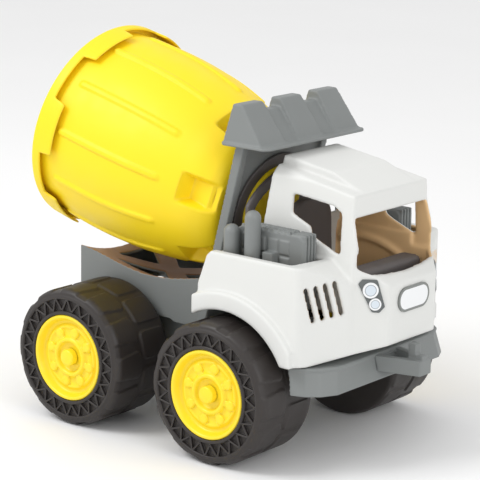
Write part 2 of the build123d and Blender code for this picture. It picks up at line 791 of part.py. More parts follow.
def seat_unit():
    """Dark moulding with the cab floor, the seat back and the hoop behind the cab."""
    floor = box(bulkhead_x, dash_back_x, -cabin_floor_half_width, cabin_floor_half_width,
                cabin_floor_z - 3, cabin_floor_z)
    top_half = seat_half_width - seat_taper
    back = flat([(-seat_half_width, cabin_floor_z), (seat_half_width, cabin_floor_z),
                 (top_half, seat_top_z), (-top_half, seat_top_z)])
    back = fillet(back.vertices().group_by(Axis.Y)[-1], 17.0)
    rest = front_prism(back, seat_back_x, seat_back_x + seat_thickness)
    hoop = hoop_face(hoop_half_width, hoop_radius, cabin_floor_z - 3)
    hoop -= hoop_face(hoop_half_width - hoop_band, hoop_radius - hoop_band, hoop_sill_z)
    return floor + rest + front_prism(hoop, bulkhead_x, bulkhead_x + bulkhead_depth)


def dash_console():
    body = box(dash_back_x, dash_front_x, -dash_half_width, dash_half_width, dash_top_z - 22, dash_top_z)
    body = fillet(body.edges().filter_by(Axis.Y).group_by(Axis.Z)[-1], 4.0)
    return body


# ---------------------------------------------------------------- all pieces
def all_pieces():
    pieces = {
        "chassis": chassis(),
        "rear_bed": rear_bed(),
        "cab_shell": cab_shell(),
        "front_bumper": front_bumper(),
        "tow_hitch": tow_hitch(),
        "drum_frame": drum_frame(),
        "drum_turntable": turntable(),
        "mixer_drum": mixer_drum(),
        "light_hood": light_hood(),
        "seat_unit": seat_unit(),
        "dash_console": dash_console(),
        "badge_plate": badge(),
        "body_screws": body_screws(),
        "rear_axle": axle(0.0),
        "front_axle": axle(front_axle_x),
        "rear_axle_caps": axle_caps(0.0),
        "front_axle_caps": axle_caps(front_axle_x),
    }
    for side, sign in sides.items():
        pieces["engine_block_" + side] = by_side(engine_block(), sign)
        pieces["tall_exhaust_" + side] = by_side(stack(tall_stack), sign)
        pieces["short_exhaust_" + side] = by_side(stack(short_stack), sign)
        pieces["lamp_panel_" + side] = by_side(lamp_panel(), sign)
        pieces["lamp_lenses_" + side] = by_side(lamp_lenses(), sign)
        for end, x in (("rear", 0.0), ("front", front_axle_x)):
            pieces["tyre_" + end + "_" + side] = tyre(x, sign)
            pieces["hub_" + end + "_" + side] = hub(x, sign)
    return pieces


drum_back_x = drum_rim_x - rim_radius * math.sin(tilt)
middle_x = (drum_back_x + hitch_tip_x) / 2

os.makedirs("parts", exist_ok=True)
for name, piece in all_pieces().items():
    export_step(Pos(-middle_x, 0, 0) * piece, "parts/" + name + ".step")
print("middle_x", round(middle_x, 4))
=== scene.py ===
# %% [markdown]
# # A moulded plastic toy cement mixer
# The truck is a sand toy: thin injection-moulded shells, blow-moulded tyres and a pail that serves as the
# mixer drum. The working model is already there as a fixed frame of named parts. This lesson puts the looks
# on it: it keeps the parts whose shape is right and only gives them a finish, and it models again those
# where the real one has detail or softness that the working part leaves out, such as the tyres and drum.

# %% Load the frame
import json
import math

import bpy
import numpy as np
from mathutils import Matrix, Vector


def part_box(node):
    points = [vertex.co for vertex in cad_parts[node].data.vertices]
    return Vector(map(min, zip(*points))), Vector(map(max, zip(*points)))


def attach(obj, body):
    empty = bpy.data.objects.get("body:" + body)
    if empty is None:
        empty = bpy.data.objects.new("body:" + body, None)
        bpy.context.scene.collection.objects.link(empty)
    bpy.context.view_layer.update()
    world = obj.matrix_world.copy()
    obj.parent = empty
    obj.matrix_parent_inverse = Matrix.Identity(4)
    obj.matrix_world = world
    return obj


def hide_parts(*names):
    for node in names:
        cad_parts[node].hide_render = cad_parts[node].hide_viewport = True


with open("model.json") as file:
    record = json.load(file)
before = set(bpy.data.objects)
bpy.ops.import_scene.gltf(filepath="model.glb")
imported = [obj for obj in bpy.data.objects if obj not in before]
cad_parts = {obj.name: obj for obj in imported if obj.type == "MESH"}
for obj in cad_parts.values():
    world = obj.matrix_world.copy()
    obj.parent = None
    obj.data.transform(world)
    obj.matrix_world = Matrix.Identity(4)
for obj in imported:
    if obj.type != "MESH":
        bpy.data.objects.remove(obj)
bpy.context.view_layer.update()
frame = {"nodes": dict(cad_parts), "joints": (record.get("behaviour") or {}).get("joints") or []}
nodes = frame["nodes"]
MM = 0.001

# %% [markdown]
# ## Helpers for working in edit mode
# Every operator acts on what is selected, so each piece starts with nothing selected. A round piece, such as
# a tyre or a hub, is turned as on a lathe: one point, extruded along its outline, then spun about the axle.
# A cylinder with many cuts could give the same shape, but an outline is easier to read and to change.

# %% Starting and finishing a piece
def clear_selection():
    if bpy.context.object and bpy.context.object.mode != "OBJECT":
        bpy.ops.object.mode_set(mode="OBJECT")
    bpy.ops.object.select_all(action="DESELECT")


def named(name):
    piece = bpy.context.object
    piece.name = name
    piece.data.name = name
    return piece


def settle(piece):
    """Leaves edit mode and puts the piece's place into its mesh, with its origin at the world's."""
    pick(piece)
    bpy.ops.object.transform_apply(location=True, rotation=True, scale=True)
    piece.select_set(False)
    return piece


def draw_line(name, places):
    """Starts a piece as one point, extruded from place to place. It is left in edit mode, all selected."""
    clear_selection()
    bpy.ops.mesh.primitive_plane_add(size=MM, location=(0, 0, 0))
    piece = named(name)
    bpy.ops.object.mode_set(mode="EDIT")
    bpy.ops.mesh.select_all(action="SELECT")
    bpy.ops.mesh.merge(type="CENTER")
    bpy.ops.transform.translate(value=places[0])
    for here, there in zip(places, places[1:]):
        bpy.ops.mesh.extrude_region_move(TRANSFORM_OT_translate={"value": there - here})
    bpy.ops.mesh.select_all(action="SELECT")
    return piece


def turn_on_lathe(name, outline, centre, steps):
    """Spins an outline of (radius, y) points, in millimetres, about a line along Y through centre."""
    places = [Vector((centre[0], y * MM, centre[1] + radius * MM)) for radius, y in outline]
    piece = draw_line(name, places)
    bpy.ops.mesh.spin(steps=steps, angle=2 * math.pi, center=(centre[0], 0, centre[1]), axis=(0, 1, 0))
    bpy.ops.mesh.select_all(action="SELECT")
    bpy.ops.mesh.remove_doubles(threshold=0.02 * MM)
    bpy.ops.mesh.normals_make_consistent(inside=False)
    return settle(piece)


def joined(name, pieces):
    clear_selection()
    for piece in pieces:
        piece.select_set(True)
    bpy.context.view_layer.objects.active = pieces[0]
    bpy.ops.object.join()
    return settle(named(name))


def copy_turned(piece, turn):
    """A copy with its own mesh, moved by the matrix turn."""
    twin = piece.copy()
    twin.data = piece.data.copy()
    bpy.context.collection.objects.link(twin)
    twin.data.transform(turn)
    return twin


def pick(piece):
    """Makes the piece the only one selected, and the active one."""
    clear_selection()
    piece.select_set(True)
    bpy.context.view_layer.objects.active = piece


def smooth(piece, degrees):
    pick(piece)
    bpy.ops.object.shade_smooth_by_angle(angle=math.radians(degrees))
    piece.select_set(False)


def apply_modifier(piece, kind, **settings):
    pick(piece)
    modifier = piece.modifiers.new("step", kind)
    for key, value in settings.items():
        setattr(modifier, key, value)
    bpy.ops.object.modifier_apply(modifier=modifier.name)


def hand_over(piece, body, node, finish):
    """Gives a finished piece its finish and says what it rides on, replaces and is made of."""
    piece.data.materials.clear()
    piece.data.materials.append(finish["material"])
    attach(piece, body)
    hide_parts(node)


def points_of(piece):
    """The places of the piece's points in millimetres, as an array of three columns."""
    places = np.empty(len(piece.data.vertices) * 3)
    piece.data.vertices.foreach_get("co", places)
    return places.reshape(-1, 3) / MM


def move_points(piece, places):
    piece.data.vertices.foreach_set("co", (places * MM).ravel())
    piece.data.update()


def axle_centre(node):
    """The (x, z) of a round part's middle, in metres."""
    low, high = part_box(node)
    return ((low[0] + high[0]) / 2, (low[2] + high[2]) / 2)


print("helpers ready")

# %% [markdown]
# ## Moulded plastic
# All the shells are coloured through, so the colour hardly changes, but three things show on real mouldings:
# a very fine texture from the mould, slow cloudy changes of tone and gloss, and soft edges that catch the
# light. A flat colour would look like paper. The Bevel node rounds the light on sharp edges without any
# extra mesh, and comparing it with the true normal finds the edges, which are worn a little paler.

# %% One recipe for every plastic
def add_node(tree, kind, **settings):
    made = tree.nodes.new(kind)
    for key, value in settings.items():
        setattr(made, key, value)
    return made


def link(tree, source, target):
    tree.links.new(source, target)


def noise(tree, place, scale, detail=3.0):
    made = add_node(tree, "ShaderNodeTexNoise")
    made.inputs["Scale"].default_value = scale
    made.inputs["Detail"].default_value = detail
    link(tree, place, made.inputs["Vector"])
    return made.outputs["Fac"]


def in_range(tree, value, low, high, from_low=0.3, from_high=0.7):
    made = add_node(tree, "ShaderNodeMapRange")
    made.inputs["From Min"].default_value = from_low
    made.inputs["From Max"].default_value = from_high
    made.inputs["To Min"].default_value = low
    made.inputs["To Max"].default_value = high
    link(tree, value, made.inputs["Value"])
    return made.outputs["Result"]


def blend_colour(tree, amount, first, second):
    """Mixes two colours; each is a colour value or another node's output."""
    made = add_node(tree, "ShaderNodeMix", data_type="RGBA")
    for socket, colour in ((made.inputs["A"], first), (made.inputs["B"], second)):
        if isinstance(colour, tuple):
            socket.default_value = (*colour, 1.0)
        else:
            link(tree, colour, socket)
    link(tree, amount, made.inputs["Factor"])
    return made.outputs["Result"]


def scaled(colour, by):
    return tuple(min(1.0, channel * by) for channel in colour)


def moulded_plastic(name, colour, roughness, grain=900.0, grain_depth=0.05, edge=1.2, mottle=0.05,
                    coat=0.0, subsurface=0.0):
    """Coloured-through plastic. Returns the material, its tree, its shader, its colour and object place."""
    material = bpy.data.materials.new(name)
    material.use_nodes = True
    tree = material.node_tree
    shader = tree.nodes["Principled BSDF"]
    place = add_node(tree, "ShaderNodeTexCoord").outputs["Object"]
    cloud = noise(tree, place, 14.0)
    toned = blend_colour(tree, cloud, scaled(colour, 1 - mottle), scaled(colour, 1 + mottle))
    rounding = add_node(tree, "ShaderNodeBevel", samples=6)
    rounding.inputs["Radius"].default_value = edge * MM
    true_normal = add_node(tree, "ShaderNodeNewGeometry").outputs["Normal"]
    match = add_node(tree, "ShaderNodeVectorMath", operation="DOT_PRODUCT")
    link(tree, rounding.outputs["Normal"], match.inputs[0])
    link(tree, true_normal, match.inputs[1])
    worn = in_range(tree, match.outputs["Value"], 0.35, 0.0, 0.75, 0.98)
    edged = blend_colour(tree, worn, toned, tuple(c + (1 - c) * 0.18 for c in colour))
    link(tree, edged, shader.inputs["Base Color"])
    patch = noise(tree, place, 60.0)
    link(tree, in_range(tree, patch, roughness - 0.05, roughness + 0.07), shader.inputs["Roughness"])
    bump = add_node(tree, "ShaderNodeBump")
    bump.inputs["Strength"].default_value = 0.6
    bump.inputs["Distance"].default_value = grain_depth * MM
    link(tree, noise(tree, place, grain, 2.0), bump.inputs["Height"])
    link(tree, rounding.outputs["Normal"], bump.inputs["Normal"])
    link(tree, bump.outputs["Normal"], shader.inputs["Normal"])
    shader.inputs["Coat Weight"].default_value = coat
    shader.inputs["Coat Roughness"].default_value = 0.25
    shader.inputs["Subsurface Weight"].default_value = subsurface
    shader.inputs["Subsurface Radius"].default_value = (0.004, 0.003, 0.001)
    return {"material": material, "tree": tree, "shader": shader, "colour": edged, "place": place,
            "normal": true_normal}


def sorted_by(tree, vector, name):
    """One of X, Y, Z of a vector."""
    made = add_node(tree, "ShaderNodeSeparateXYZ")
    link(tree, vector, made.inputs["Vector"])
    return made.outputs[name]


def maths(tree, operation, first, second=0.0):
    made = add_node(tree, "ShaderNodeMath", operation=operation)
    for socket, value in ((made.inputs[0], first), (made.inputs[1], second)):
        if isinstance(value, (int, float)):
            socket.default_value = value
        else:
            link(tree, value, socket)
    return made.outputs["Value"]


print("plastic recipe ready")

# %% The truck's colours
YELLOW = (0.955, 0.700, 0.004)
HUB_YELLOW = (0.930, 0.700, 0.020)
WHITE = (0.680, 0.685, 0.665)
GREY = (0.196, 0.208, 0.205)
DARK = (0.105, 0.094, 0.092)
TYRE = (0.024, 0.019, 0.017)
# Tan is painted warm shade and bounce light for the white cab's inner walls.
PAINTED_WARM_SHADE = (0.80, 0.53, 0.27)
# Brown is painted bounce light and shade from the yellow drum, laid on the bed's top.
DRUM_BOUNCE_BROWN = (0.30, 0.14, 0.045)

drum_yellow = moulded_plastic("drum_yellow", YELLOW, 0.50, grain_depth=0.03, edge=1.6, mottle=0.03,
                              subsurface=0.08)
hub_yellow = moulded_plastic("hub_yellow", HUB_YELLOW, 0.36, grain_depth=0.02, edge=0.8, mottle=0.03)
frame_grey = moulded_plastic("frame_grey", GREY, 0.50, edge=1.0)
dark_grey = moulded_plastic("dark_grey", DARK, 0.55, edge=1.2)
tyre_black = moulded_plastic("tyre_black", TYRE, 0.48, grain_depth=0.06, edge=0.5, mottle=0.12)
print("colours mixed:", len(bpy.data.materials))

# %% [markdown]
# ## White cab with painted warm shade inside
# The cab is white outside, and the walls seen through its windows are painted tan, which stands for the warm
# shade and bounce light on the white plastic. The two are one moulding, so the painted shade is split by
# which way a face
# looks: a wall that faces the middle of the truck is an inside wall.
# A second material on picked faces would also do, but this rule needs no picking.

# %% Cab finish
cab_white = moulded_plastic("cab_white", WHITE, 0.46, edge=2.4, mottle=0.015)
tree = cab_white["tree"]
side = maths(tree, "SIGN", sorted_by(tree, cab_white["place"], "Y"))
outwards = maths(tree, "MULTIPLY", side, sorted_by(tree, cab_white["normal"], "Y"))
# Painted warm shade: faces turned towards the middle of the truck get tan in place of shade and bounce
# light.
inside = maths(tree, "LESS_THAN", outwards, -0.25)
link(tree, blend_colour(tree, inside, cab_white["colour"], PAINTED_WARM_SHADE), cab_white["shader"].inputs["Base Color"])
print("cab finish:", len(tree.nodes), "nodes")

# %% [markdown]
# ## Bed in the drum's glow
# The bed under the drum is the same grey moulding, and its top is painted brown as painted bounce light and
# shade from the yellow drum above. The rule is the same as in the cab, by the way a face looks: upwards is
# brown.

# %% Bed finish
bed_grey = moulded_plastic("bed_grey", GREY, 0.50, edge=1.0)
tree = bed_grey["tree"]
# Painted bounce light: faces that look up are tinted brown for the drum's reflected light and shade.
painted_bounce_top = in_range(tree, sorted_by(tree, bed_grey["normal"], "Z"), 0.0, 0.85, 0.5, 0.8)
link(tree, blend_colour(tree, painted_bounce_top, bed_grey["colour"], DRUM_BOUNCE_BROWN), bed_grey["shader"].inputs["Base Color"])
print("bed finish:", len(tree.nodes), "nodes")

# %% [markdown]
# ## Tyres
# The tyres are hollow blow mouldings: wide, with big shallow tread blocks on the shoulder and a ring of
# zigzag ribs on the sidewall. The body is turned on the lathe with a fine mesh across the tread, and the
# ground between the pads is pressed in by moving its points by a formula. Cutting it with booleans would be
# sharper than the real, soft mouldings.

# %% Tyre outline
wheel_low, wheel_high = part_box("tyre_front_right")
TYRE_RADIUS = (wheel_high[2] - wheel_low[2]) / 2 / MM
INNER_Y = -wheel_high[1] / MM
OUTER_Y = -wheel_low[1] / MM
RIDGE = 112.6
HUB_BORE = 34.0


def tyre_outline():
    """From the hub's bore over the sidewall and tread to the inner side, as (radius, y) points."""
    face = [(HUB_BORE, 108.0), (HUB_BORE, RIDGE - 0.8), (HUB_BORE + 0.7, RIDGE), (36.2, RIDGE),
            (36.8, RIDGE - 0.5), (37.2, 110.0), (45.9, 110.0), (46.3, RIDGE - 0.6), (46.9, RIDGE - 0.1),
            (48.4, RIDGE - 0.2), (49.2, RIDGE - 1.0)]
    shoulder = [(49.8 + 4.2 * math.sin(turn), 105.2 + 6.2 * math.cos(turn))
                for turn in np.linspace(0.12, math.pi / 2, 10)]
    tread = [(TYRE_RADIUS, y) for y in np.linspace(104.0, 58.0, 47)]
    inner = [(TYRE_RADIUS - 4 + 4 * math.cos(turn), 57.0 - 4 * math.sin(turn))
             for turn in np.linspace(0.2, math.pi / 2, 6)]
    back = [(44.0, INNER_Y + 0.3), (40.0, INNER_Y), (HUB_BORE, INNER_Y), (HUB_BORE, 60.0)]
    return [(min(radius, TYRE_RADIUS), -y) for radius, y in face + shoulder + tread + inner + back]


print("tyre radius", round(TYRE_RADIUS, 2), "mm,", round(OUTER_Y - INNER_Y, 2), "mm wide")

# %% [markdown]
# The tread is two rows of low rounded pads, half a pad out of step, on a slightly smaller crown. How far a
# point lies under a pad's top depends on its distance from the nearest pad's outline, with a soft edge as a
# blown part has.

# %% Tread pads
PADS_ROUND = 12
PAD_HEIGHT = 1.3
PAD_EDGE = 1.1


def outside_pad(along, across, half_length, half_width, corner):
    """Distance outside a rounded rectangle, in millimetres; negative inside."""
    past_end = np.maximum(np.abs(along) - half_length + corner, 0)
    past_side = np.maximum(np.abs(across) - half_width + corner, 0)
    within = np.minimum(np.maximum(np.abs(along) - half_length, np.abs(across) - half_width) + corner, 0)
    return np.hypot(past_end, past_side) + within - corner


def pad_drop(angle, y):
    """How far a point lies below the pads' tops."""
    pitch = 2 * math.pi * TYRE_RADIUS / PADS_ROUND
    turns = angle / (2 * math.pi) * PADS_ROUND
    beside_outer = (turns - np.round(turns)) * pitch
    beside_inner = (turns + 0.5 - np.round(turns + 0.5)) * pitch
    outer_half = 8.0 + 0.10 * (110 - y)
    near = np.minimum(outside_pad(beside_outer, y - 102, outer_half, 16.0, 3.0),
                      outside_pad(beside_inner, y - 69, 10.5, 12.5, 3.5))
    soft = np.clip(near / PAD_EDGE, 0, 1)
    return PAD_HEIGHT * soft * soft * (3 - 2 * soft)


def press_tread(piece, centre):
    """Moves the tread's points in towards the axle wherever there is no pad."""
    places = points_of(piece)
    across = places[:, 0] - centre[0] / MM
    up = places[:, 2] - centre[1] / MM
    radius = np.hypot(across, up)
    y = np.abs(places[:, 1])
    depth = pad_drop(np.arctan2(up, across), y)
    depth *= np.clip((radius - 50.5) / 2.5, 0, 1) * np.clip((y - 54.0) / 3.0, 0, 1)
    share = (radius - depth) / np.maximum(radius, 1)
    places[:, 0] = across * share + centre[0] / MM
    places[:, 2] = up * share + centre[1] / MM
    move_points(piece, places)


print("between pads the crown lies", PAD_HEIGHT, "mm lower")

# %% [markdown]
# The zigzag ribs are bars that lean one way and then the other around the sidewall's ring. One bar is
# modelled, a block with its top edges rounded, and set round the ring in a loop.

# %% Sidewall ribs
RIB_PAIRS = 24
RIB_LOW_RADIUS = 36.9
RIB_HIGH_RADIUS = 46.2


def sidewall_bar():
    """A bar lying along X, its top up towards -Y, centred on the origin."""
    clear_selection()
    step = math.pi / RIB_PAIRS
    reach = RIB_HIGH_RADIUS - RIB_LOW_RADIUS
    sideways = (RIB_LOW_RADIUS + RIB_HIGH_RADIUS) / 2 * step
    length = math.hypot(reach, sideways)
    bpy.ops.mesh.primitive_cube_add(size=1)
    bar = named("sidewall_bar")
    bar.scale = (length * MM, 3.2 * MM, 1.5 * MM)
    settle(bar)
    apply_modifier(bar, "BEVEL", width=0.35 * MM, segments=1)
    return bar, math.atan2(sideways, reach)


def rib_ring(name, centre):
    bar, lean = sidewall_bar()
    middle = (RIB_LOW_RADIUS + RIB_HIGH_RADIUS) / 2 * MM
    bars = []
    for count in range(2 * RIB_PAIRS):
        way = 1 if count % 2 else -1
        turn = Matrix.Translation((centre[0], -(RIDGE - 1.8) * MM, centre[1]))
        turn @= Matrix.Rotation((count + 0.5) * math.pi / RIB_PAIRS, 4, "Y")
        turn @= Matrix.Translation((middle, 0, 0)) @ Matrix.Rotation(way * lean, 4, "Y")
        bars.append(copy_turned(bar, turn))
    bpy.data.objects.remove(bar)
    return joined(name, bars)


print("zigzag bars per tyre:", 2 * RIB_PAIRS)

# %% Four tyres
def half_turn(centre):
    """Half a turn about the upright line through the axle's middle, which sends right to left."""
    to_axle = Matrix.Translation((centre[0], 0, 0))
    return to_axle @ Matrix.Rotation(math.pi, 4, "Z") @ to_axle.inverted()


def hand_over_pair(right, centre, kind, end, finish):
    """Copies a right-hand wheel piece to the left and hands both over."""
    left = copy_turned(right, half_turn(centre))
    left.name = right.name.replace("right", "left")
    left.data.name = left.name
    for side, piece in (("right", right), ("left", left)):
        hand_over(piece, f"wheel_{end}_{side}", f"{kind}_{end}_{side}", finish)
    print(right.name, len(right.data.polygons), "faces")


for end in ("front", "rear"):
    centre = axle_centre(f"tyre_{end}_right")
    body = turn_on_lathe(f"tyre_skin_{end}_right", tyre_outline(), centre, 360)
    press_tread(body, centre)
    ribs = rib_ring(f"sidewall_ribs_{end}_right", centre)
    smooth(body, 50)
    right = joined(f"blown_tyre_{end}_right", [body, ribs])
    hand_over_pair(right, centre, "tyre", end, tyre_black)

# %% [markdown]
# ## Hubs
# Each yellow hub is a deep dish: a rounded lip, a sunk ring, a raised disc with eight lobes round a collar,
# and the axle's cap in the middle. The dish is turned on the lathe. The lobes are one rounded puck with a
# bridge to the collar, copied round.

# %% Hub dish
HUB_RADIUS = 33.9


def hub_outline():
    lip = [(HUB_RADIUS, 70.0), (HUB_RADIUS, 110.6), (33.7, 111.6), (33.1, 112.3), (32.3, 112.5),
           (31.4, 112.2), (30.8, 111.4)]
    sunk = [(29.8, 108.4), (29.2, 107.0), (28.4, 106.3), (27.0, 106.1), (26.0, 106.4), (25.4, 107.2)]
    disc = [(24.9, 107.9), (24.0, 108.2), (23.0, 107.9), (22.4, 107.2), (17.5, 107.0), (16.3, 107.4)]
    collar = [(15.6, 109.0), (15.0, 109.8), (14.0, 110.1), (13.0, 109.9), (12.3, 109.2), (11.7, 107.6),
              (11.0, 106.8), (9.9, 106.4), (3.05, 106.4), (3.05, 100.0)]
    return [(radius, -y) for radius, y in lip + sunk + disc + collar]


def hub_lobe():
    """A rounded puck with a bridge inwards, lying along +X from the axle, its top towards -Y."""
    clear_selection()
    bpy.ops.mesh.primitive_cylinder_add(vertices=24, radius=4.2 * MM, depth=5 * MM,
                                        location=(20.6 * MM, 0, 0), rotation=(math.pi / 2, 0, 0))
    puck = settle(named("lobe_puck"))
    clear_selection()
    bpy.ops.mesh.primitive_cube_add(size=1, location=(17.0 * MM, 0.2 * MM, 0))
    bridge = named("lobe_bridge")
    bridge.scale = (7.0 * MM, 4.6 * MM, 5.2 * MM)
    settle(bridge)
    for piece, width in ((puck, 1.8), (bridge, 1.2)):
        apply_modifier(piece, "BEVEL", width=width * MM, segments=4, limit_method="ANGLE")
    lobe = joined("hub_lobe", [puck, bridge])
    smooth(lobe, 40)
    return lobe


print("hub outline points:", len(hub_outline()))

# %% Four hubs
LOBES = 8
LOBE_MIDDLE_Y = -106.9
for end in ("front", "rear"):
    centre = axle_centre(f"tyre_{end}_right")
    dish = turn_on_lathe(f"hub_dish_{end}", hub_outline(), centre, 96)
    smooth(dish, 50)
    lobe = hub_lobe()
    lobes = []
    for count in range(LOBES):
        turn = Matrix.Translation((centre[0], LOBE_MIDDLE_Y * MM, centre[1]))
        turn @= Matrix.Rotation((count + 0.3) * 2 * math.pi / LOBES, 4, "Y")
        lobes.append(copy_turned(lobe, turn))
    bpy.data.objects.remove(lobe)
    right = joined(f"dished_hub_{end}_right", [dish] + lobes)
    hand_over_pair(right, centre, "hub", end, hub_yellow)

# %% [markdown]
# ## Axle caps
# A round push-on cap closes each hub: nearly flat, with a rolled edge. The caps stay still with the axle
# while the wheels turn, so they are pieces of the truck and not of the wheel.

# %% Axle caps
CAP_RADIUS = 6.6
CAP_HEIGHT = 6.2
CAP_ROLL = 1.8


def cap_outline(base):
    rolled = [(CAP_RADIUS - CAP_ROLL + CAP_ROLL * math.cos(turn), base + 4.0 + CAP_ROLL * math.sin(turn))
              for turn in np.linspace(0, math.pi / 2, 7)]
    top = [(3.0, base + CAP_HEIGHT - 0.1), (0.0, base + CAP_HEIGHT)]
    return [(radius, -y) for radius, y in [(CAP_RADIUS, base)] + rolled + top]


for end in ("front", "rear"):
    cap_low, cap_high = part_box(f"{end}_axle_caps")
    centre = axle_centre(f"{end}_axle_caps")
    base = -cap_low[1] / MM - CAP_HEIGHT
    right = turn_on_lathe(f"push_cap_{end}_right", cap_outline(base), centre, 64)
    smooth(right, 60)
    left = copy_turned(right, half_turn(centre))
    caps = joined(f"push_caps_{end}", [right, left])
    hand_over(caps, "truck", f"{end}_axle_caps", hub_yellow)
print("caps of radius", CAP_RADIUS, "mm on both axles")

# %% [markdown]
# ## Pail drum
# The drum is a sand pail: a barrel that narrows to its closed end, twelve soft ribs, six flat-floored
# pockets at the end, and a turned-down rim with six longer tabs. The barrel and the rim are turned on the
# lathe with a fine mesh. The ribs, pockets and tabs are then pressed in by formula, as they are in the real
# mould, so their edges stay soft.

# %% Drum outline
BARREL = [(2.0, 77.0), (25.0, 78.4), (50.0, 79.0), (90.0, 76.5), (130.0, 68.0), (150.0, 62.0), (157.0, 58.5)]
BARREL_START = BARREL[0][0]
BARREL_END = BARREL[-1][0]
WALL = 2.4
RIM_RADIUS = 83.0
RIM_INSIDE = 81.2


def rounded_through(points, places):
    """Radius at each place along the barrel, on smooth curves through its points."""
    at = np.array([point[0] for point in points])
    radius = np.array([point[1] for point in points])
    slope = np.gradient(radius, at)
    piece = np.clip(np.searchsorted(at, places) - 1, 0, len(at) - 2)
    width = at[piece + 1] - at[piece]
    t = (places - at[piece]) / width
    return ((1 + 2 * t) * (1 - t) ** 2 * radius[piece] + t * (1 - t) ** 2 * width * slope[piece]
            + t * t * (3 - 2 * t) * radius[piece + 1] + t * t * (t - 1) * width * slope[piece + 1])


def barrel_outline():
    outside = np.linspace(BARREL_END, 1.0, 100)
    barrel = list(zip(rounded_through(BARREL, outside), outside))
    end = [(0.0, 181.0), (31.5, 181.0), (32.6, 180.0), (33.0, 178.5), (33.0, 168.0), (34.0, 166.6),
           (36.0, 166.4), (46.0, 166.4), (50.0, 165.6), (53.0, 163.6), (55.5, 161.0), (57.4, 158.6)]
    inside = [(76.0, 0.0), (74.8, 0.6), (74.6, 2.0)]
    inner_places = np.linspace(20.0, 155.0, 12)
    inside += list(zip(rounded_through(BARREL, inner_places) - WALL, inner_places))
    floor = [(50.0, 161.5), (44.0, 163.8), (0.0, 164.0)]
    return end + barrel + inside + floor


def skirt_outline():
    outside = [(76.0, 0.0), (81.0, 0.0), (82.2, 0.4), (82.8, 1.2), (RIM_RADIUS, 2.2)]
    outside += [(RIM_RADIUS, place) for place in np.linspace(3.0, 8.0, 7)]
    inside = [(82.8, 8.7), (82.2, 9.0), (81.5, 8.8), (RIM_INSIDE, 8.2)]
    inside += [(RIM_INSIDE, place) for place in np.linspace(7.5, 3.0, 5)]
    return outside + inside + [(81.0, 2.3), (80.2, 2.0), (76.0, 2.0)]


print("drum outline:", len(barrel_outline()), "points; rim:", len(skirt_outline()))

# %% Ribs, pockets and tabs
DRUM_FIRST_ANGLE = 8.0
RIBS = 12
POCKETS = 6
RIB_RISE = 1.7
POCKET_FLOOR = 52.5
TAB_REACH = 12.0


def beside_nearest(angle, count):
    """Angle in radians from the nearest of count evenly spaced features."""
    pitch = 2 * math.pi / count
    turned = angle - math.radians(DRUM_FIRST_ANGLE)
    return turned - np.round(turned / pitch) * pitch


def eased(value, start, end):
    t = np.clip((value - start) / (end - start), 0, 1)
    return t * t * (3 - 2 * t)


def pressed(piece, change):
    """Gives every point a new (radius, place along the axis) from change(angle, radius, place)."""
    places = points_of(piece)
    angle = np.arctan2(places[:, 2], places[:, 0])
    radius, along = change(angle, np.hypot(places[:, 0], places[:, 2]), places[:, 1])
    move_points(piece, np.stack([radius * np.cos(angle), along, radius * np.sin(angle)], axis=1))


def press_barrel(angle, radius, along):
    """Raises the ribs and sinks the pockets, each pocket with its own inner wall."""
    own = rounded_through(BARREL, np.clip(along, BARREL_START, BARREL_END))
    is_outside = radius > own - WALL * 0.5
    beside_rib = np.abs(beside_nearest(angle, RIBS)) * radius
    past_end = np.maximum(np.maximum(23.0 - along, along - 118.0), 0)
    rib = 1 - eased(np.hypot(beside_rib, past_end), 1.5, 3.3)
    raised = radius + np.where(is_outside & (along > 5) & (along < 135), RIB_RISE * rib, 0)
    beside_pocket = beside_nearest(angle, POCKETS)
    across = np.abs(np.sin(beside_pocket) * radius)
    in_pocket = (1 - eased(across, 9.5, 13.0)) * eased(along, 136.0, 142.0)
    floor = np.where(is_outside, POCKET_FLOOR, POCKET_FLOOR - WALL) / np.cos(beside_pocket)
    sunk = raised + in_pocket * (np.minimum(raised, floor) - raised)
    reach = (along > 130) & (radius > 46)
    return np.where(reach, sunk, raised), along


def press_skirt(angle, radius, along):
    """Draws the rim's edge out into tabs, a little wider at their tips."""
    tab = 1 - eased(np.abs(beside_nearest(angle, POCKETS)) * RIM_RADIUS, 21.2, 23.4)
    share = np.clip((along - 3.0) / 6.0, 0, 1)
    return radius + 0.5 * tab * share, along + share * TAB_REACH * tab


print(RIBS, "ribs", RIB_RISE, "mm high;", POCKETS, "pockets down to", POCKET_FLOOR, "mm from the axis")

# %% Drum
DRUM_STEPS = 576
tilt = math.radians(14.0)
drum_hinge = next(joint for joint in frame["joints"] if joint["name"] == "drum_spin")
drum_axis = Vector((math.cos(tilt), 0, -math.sin(tilt)))
drum_up = Vector((math.sin(tilt), 0, math.cos(tilt)))
drum_frame_axes = Matrix((Vector((0, -1, 0)), drum_axis, drum_up)).transposed().to_4x4()
drum_turn = Matrix.Translation(drum_hinge["pos_m"]) @ drum_frame_axes
barrel = turn_on_lathe("barrel", barrel_outline(), (0, 0), DRUM_STEPS)
pressed(barrel, press_barrel)
skirt = turn_on_lathe("skirt", skirt_outline(), (0, 0), DRUM_STEPS)
pressed(skirt, press_skirt)
drum = joined("pail_drum", [barrel, skirt])
drum.data.transform(drum_turn)
smooth(drum, 42)
hand_over(drum, "drum", "mixer_drum", drum_yellow)
print(drum.name, len(drum.data.polygons), "faces")

# %% [markdown]
# ## Soft-edged mouldings
# No edge of an injection moulding is sharp: the mould is rounded, most of all on a toy. The working parts
# have crisp edges, so each shell is copied, its loose triangles are merged, and it is remade from small even
# cells and relaxed a few times, which rounds every edge and blends every step. Bevelling each edge would
# give finer control, but where many slopes meet, as on the cab, a bevel tears and the remake doesn't.

# %% Remaking a shell
MERGE_WITHIN = 0.01 * MM
SMOOTH_BELOW = 60


